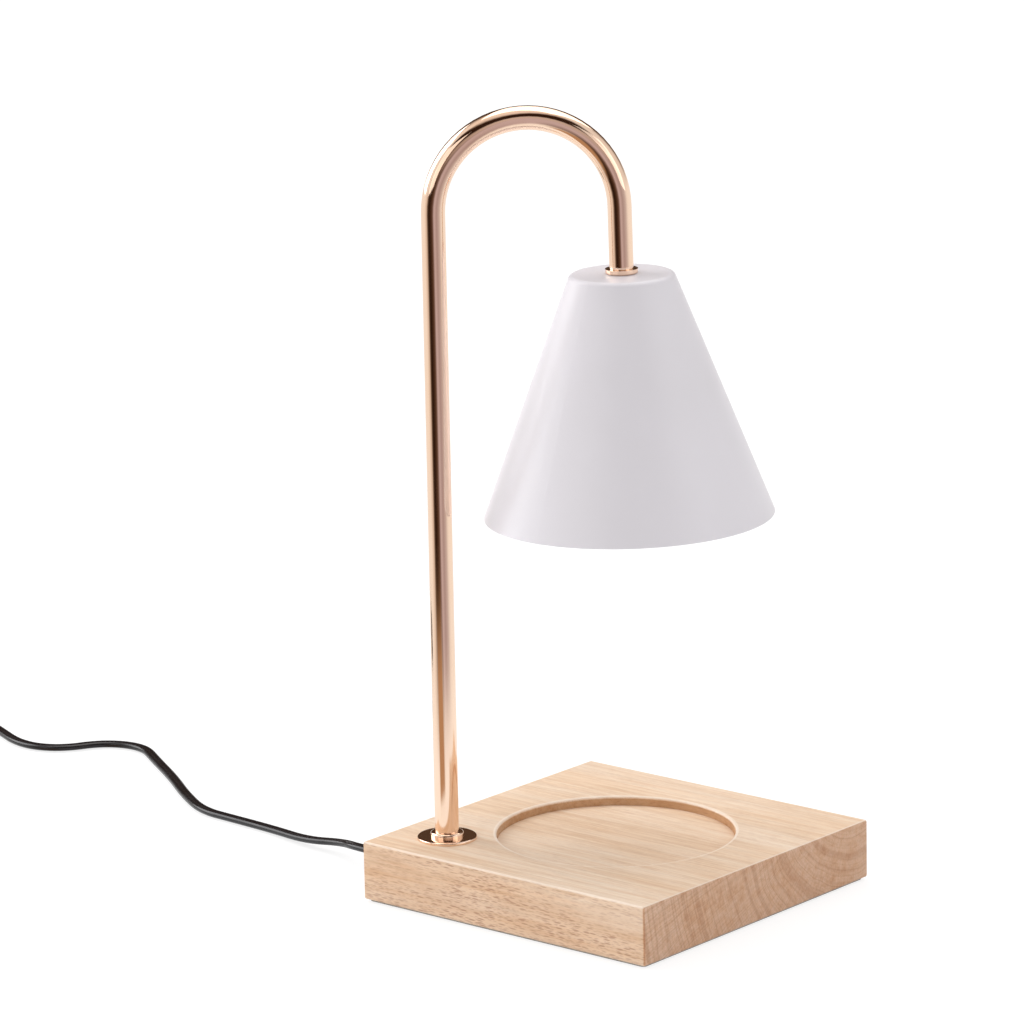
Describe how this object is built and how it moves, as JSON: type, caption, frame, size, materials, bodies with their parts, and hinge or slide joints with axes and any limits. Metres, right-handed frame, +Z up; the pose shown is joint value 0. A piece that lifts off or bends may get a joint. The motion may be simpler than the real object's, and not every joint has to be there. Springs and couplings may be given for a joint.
{
  "type": "candle warmer lamp",
  "caption": "Table lamp that melts a jar candle from above: square wooden base with a round seat, bent gold arm, white cone shade, reflector bulb, corded dimmer.",
  "frame": {"origin": "under the centre of the square base, on the surface that it stands on", "axes": "+X and +Y along the base's sides, with the arm's pole at the -X -Y corner and the cord leaving through the -X side; +Z up"},
  "size_m": [0.5698, 0.2527, 0.3333],
  "materials": {
    "beech": "fine sanded, clear matt oil",
    "felt": "thin foam sheet",
    "rose_gold": "polished, plated rose gold",
    "steel": "zinc plated",
    "cord_black": "smooth flexible sheath",
    "black_rubber": "satin moulded",
    "white_lacquer": "satin white lacquer",
    "cap_plastic": "moulded, matt",
    "ceramic": "glazed ceramic white",
    "contact_brass": "bright, nickelled",
    "pin_metal": "nickelled",
    "reflector": "silvered inside",
    "clear_glass": "clear",
    "black_plastic": "fine textured",
    "wheel_plastic": "ribbed edge",
    "board_green": "solder mask"
  },
  "bodies": {
    "lamp": {"wood_base": "beech", "bottom_pad": "felt", "base_flange": "rose_gold", "base_collar": "rose_gold", "base_washer": "steel", "base_nut": "steel", "arm_tube": "rose_gold", "inner_lead": "cord_black", "cord_bushing": "black_rubber", "shade": "white_lacquer", "shade_collar": "rose_gold", "shade_washer": "steel", "shade_nut": "steel", "holder_cap": "cap_plastic", "holder_body": "ceramic", "holder_contacts": "contact_brass", "holder_screws": "steel", "dimmer_bottom": "black_plastic", "dimmer_top": "black_plastic", "dimmer_board": "board_green", "dimmer_pot": "black_plastic", "dimmer_screws": "steel", "dimmer_relief_in": "black_rubber", "dimmer_relief_out": "black_rubber", "plug_body": "black_rubber", "plug_blades": "contact_brass", "plug_relief": "black_rubber", "cord_stretch": "cord_black", "cord_link": "cord_black", "cord_coil": "cord_black", "cord_tail": "cord_black"},
    "bulb": {"bulb_cap": "ceramic", "bulb_reflector": "reflector", "bulb_glass": "clear_glass", "bulb_capsule": "clear_glass", "bulb_pins": "pin_metal"},
    "dimmer_thumb_wheel": {"dimmer_wheel": "wheel_plastic"}
  },
  "joints": [
    {"name": "bulb_twist", "type": "hinge", "parent": "lamp", "child": "bulb", "pos_m": [0.00455, 0.00455, 0.22487], "axis": [0.0123, 0.0123, -0.9998], "range_deg": [0, 25]},
    {"name": "dimmer_turn", "type": "hinge", "parent": "lamp", "child": "dimmer_thumb_wheel", "pos_m": [-0.4654, -0.0567, 0.008], "axis": [0, 0, 1], "range_deg": [0, 270]}
  ]
}
